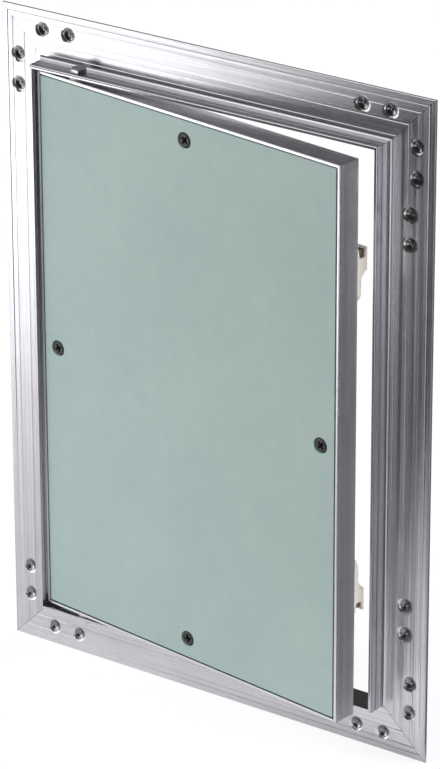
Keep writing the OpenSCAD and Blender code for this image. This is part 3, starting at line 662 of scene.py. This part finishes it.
# Studio: a pale table top under the panel, and soft light from the front and the back. The table
# shows white to the camera and in the metal, and keeps the shadow. The room is dim, with a light
# wall to the left, and low white reflectors in front of the table show in the metal.
TABLE_WIDE, TABLE_DEEP, TABLE_FLARE = 2.0, 1.6, 0.15
SEEN_BY_CAMERA, SEEN_IN_METAL, TABLE_WHITE = 0.8, 0.3, 1.1
ROOM_LIGHT = 0.045
REFLECTOR_Y = -0.42
floor_z = cad_box[0][2] - 0.2 * MM
table_right, table_back = Vector((0.8157, 0.5785, 0.0)), Vector((-0.5797, 0.8148, 0.0))
near_right = Vector((0.20, -0.105, floor_z))
near_left = near_right - TABLE_WIDE * table_right
far_right = near_right + TABLE_DEEP * table_back + TABLE_FLARE * table_right
far_left = near_left + TABLE_DEEP * table_back
sheet = bpy.data.meshes.new("pale_floor")
sheet.from_pydata([near_left, near_right, far_right, far_left], [], [(0, 1, 2, 3)])
floor = added("pale_floor", sheet)
floor_finish, tree, shader = new_finish("pale_floor", Base_Color=(0.76, 0.76, 0.76, 1.0), Roughness=0.9)
seen = Wire.node(tree, "ShaderNodeLightPath", output="Is Camera Ray") * SEEN_BY_CAMERA
for kind in ("Is Glossy Ray", "Is Transmission Ray"):
    mirrored = Wire.node(tree, "ShaderNodeLightPath", output=kind) * SEEN_IN_METAL
    seen = Wire.node(tree, "ShaderNodeMath", {"operation": "MAXIMUM"}, {0: seen, 1: mirrored})
white = Wire.node(tree, "ShaderNodeEmission", {}, {"Strength": TABLE_WHITE})
mixed = Wire.node(tree, "ShaderNodeMixShader", {}, {0: seen, 1: Wire(tree, shader.outputs[0]), 2: white})
tree.links.new(mixed.socket, tree.nodes["Material Output"].inputs[0])
floor.data.materials.append(floor_finish)

world = bpy.data.worlds.new("studio")
bpy.context.scene.world = world
world.use_nodes = True
tree = world.node_tree
tree.nodes.clear()
toward = Wire.node(tree, "ShaderNodeTexCoord", output="Generated")


def light_from(direction, low, high, strength):
    """Light from one side of the room, full where a ray's cosine to the direction is high."""
    cosine = Wire.node(tree, "ShaderNodeVectorMath", {"operation": "DOT_PRODUCT"},
                       {0: toward, 1: Vector(direction).normalized()}, output="Value")
    return spread(tree, cosine, low, high) * strength


left_wall = light_from((-0.98, -0.18, 0.02), 0.82, 0.95, 2.0)
high_left = light_from((-0.55, -0.30, 0.78), 0.9, 0.99, 1.3)
right_back = light_from((0.71, 0.585, -0.4), 0.85, 0.97, 0.13)
room = ROOM_LIGHT + left_wall + high_left + right_back
backdrop = Wire.node(tree, "ShaderNodeBackground", {}, {"Color": (1.0, 1.0, 1.0, 1.0), "Strength": room})
ending = tree.nodes.new("ShaderNodeOutputWorld")
tree.links.new(backdrop.socket, ending.inputs[0])


def softbox(name, place, aim, width, height, watts, in_metal=False):
    """A soft lamp, hidden from the camera and, unless in_metal is set, from the metal."""
    lamp = bpy.data.lights.new(name, "AREA")
    lamp.shape = "RECTANGLE"
    lamp.size, lamp.size_y, lamp.energy = width, height, watts
    holder = added(name, lamp)
    look = (Vector(aim) - Vector(place)).to_track_quat("-Z", "Y").to_matrix().to_4x4()
    holder.matrix_world = Matrix.Translation(place) @ look
    holder.visible_camera = False
    holder.visible_glossy = in_metal


softbox("left_softbox", (-1.1, -1.2, 1.2), (0.0, 0.0, 0.0), 1.0, 1.0, 30.0)
softbox("right_softbox", (1.4, -1.2, 0.9), (0.05, 0.0, 0.0), 1.0, 1.0, 3.0)
softbox("side_softbox", (1.3, 0.6, 0.35), (0.09, 0.0, 0.0), 0.6, 0.6, 20.0)
softbox("back_softbox", (-0.4, 1.8, 1.2), (0.0, 0.0, 0.0), 1.0, 1.0, 14.0)
for name, x, z, width, height, watts in (
        ("low_left_reflector", -0.765, -0.075, 1.0, 0.21, 1.4),
        ("low_right_reflector", 0.57, -0.06, 0.64, 0.12, 0.52),
        ("lower_right_reflector", 0.57, -0.355, 0.64, 0.21, 0.36)):
    softbox(name, (x, REFLECTOR_Y, z), (x, 0.0, z), width, height, watts, in_metal=True)


# Camera: a long lens a little above the panel and to its right, as in the photograph. Its place
# and its focal length were fitted to points of the panel.
AZIMUTH, ELEVATION, ROLL = math.radians(35.429), math.radians(23.402), math.radians(-0.205)
FOCAL_PX, PHOTO_HEIGHT_PX = 4383.96, 769.0
DISTANCE, SIDE, RISE = 2209.78 * MM, -3.371 * MM, 1.084 * MM
ahead = Vector((-math.sin(AZIMUTH) * math.cos(ELEVATION), math.cos(AZIMUTH) * math.cos(ELEVATION),
                -math.sin(ELEVATION)))
level_right = Vector((math.cos(AZIMUTH), math.sin(AZIMUTH), 0.0))
level_up = level_right.cross(ahead)
right = math.cos(ROLL) * level_right + math.sin(ROLL) * level_up
up = math.cos(ROLL) * level_up - math.sin(ROLL) * level_right
lens = bpy.data.cameras.new("long_lens")
lens.sensor_fit = "VERTICAL"
lens.sensor_height = 24.0
lens.lens = FOCAL_PX / PHOTO_HEIGHT_PX * lens.sensor_height
camera = added("camera", lens)
turn = Matrix((right, up, -ahead)).transposed().to_4x4()
camera.matrix_world = Matrix.Translation(-SIDE * right - RISE * up - DISTANCE * ahead) @ turn
bpy.context.scene.camera = camera

bpy.context.scene.view_settings.view_transform = "Standard"
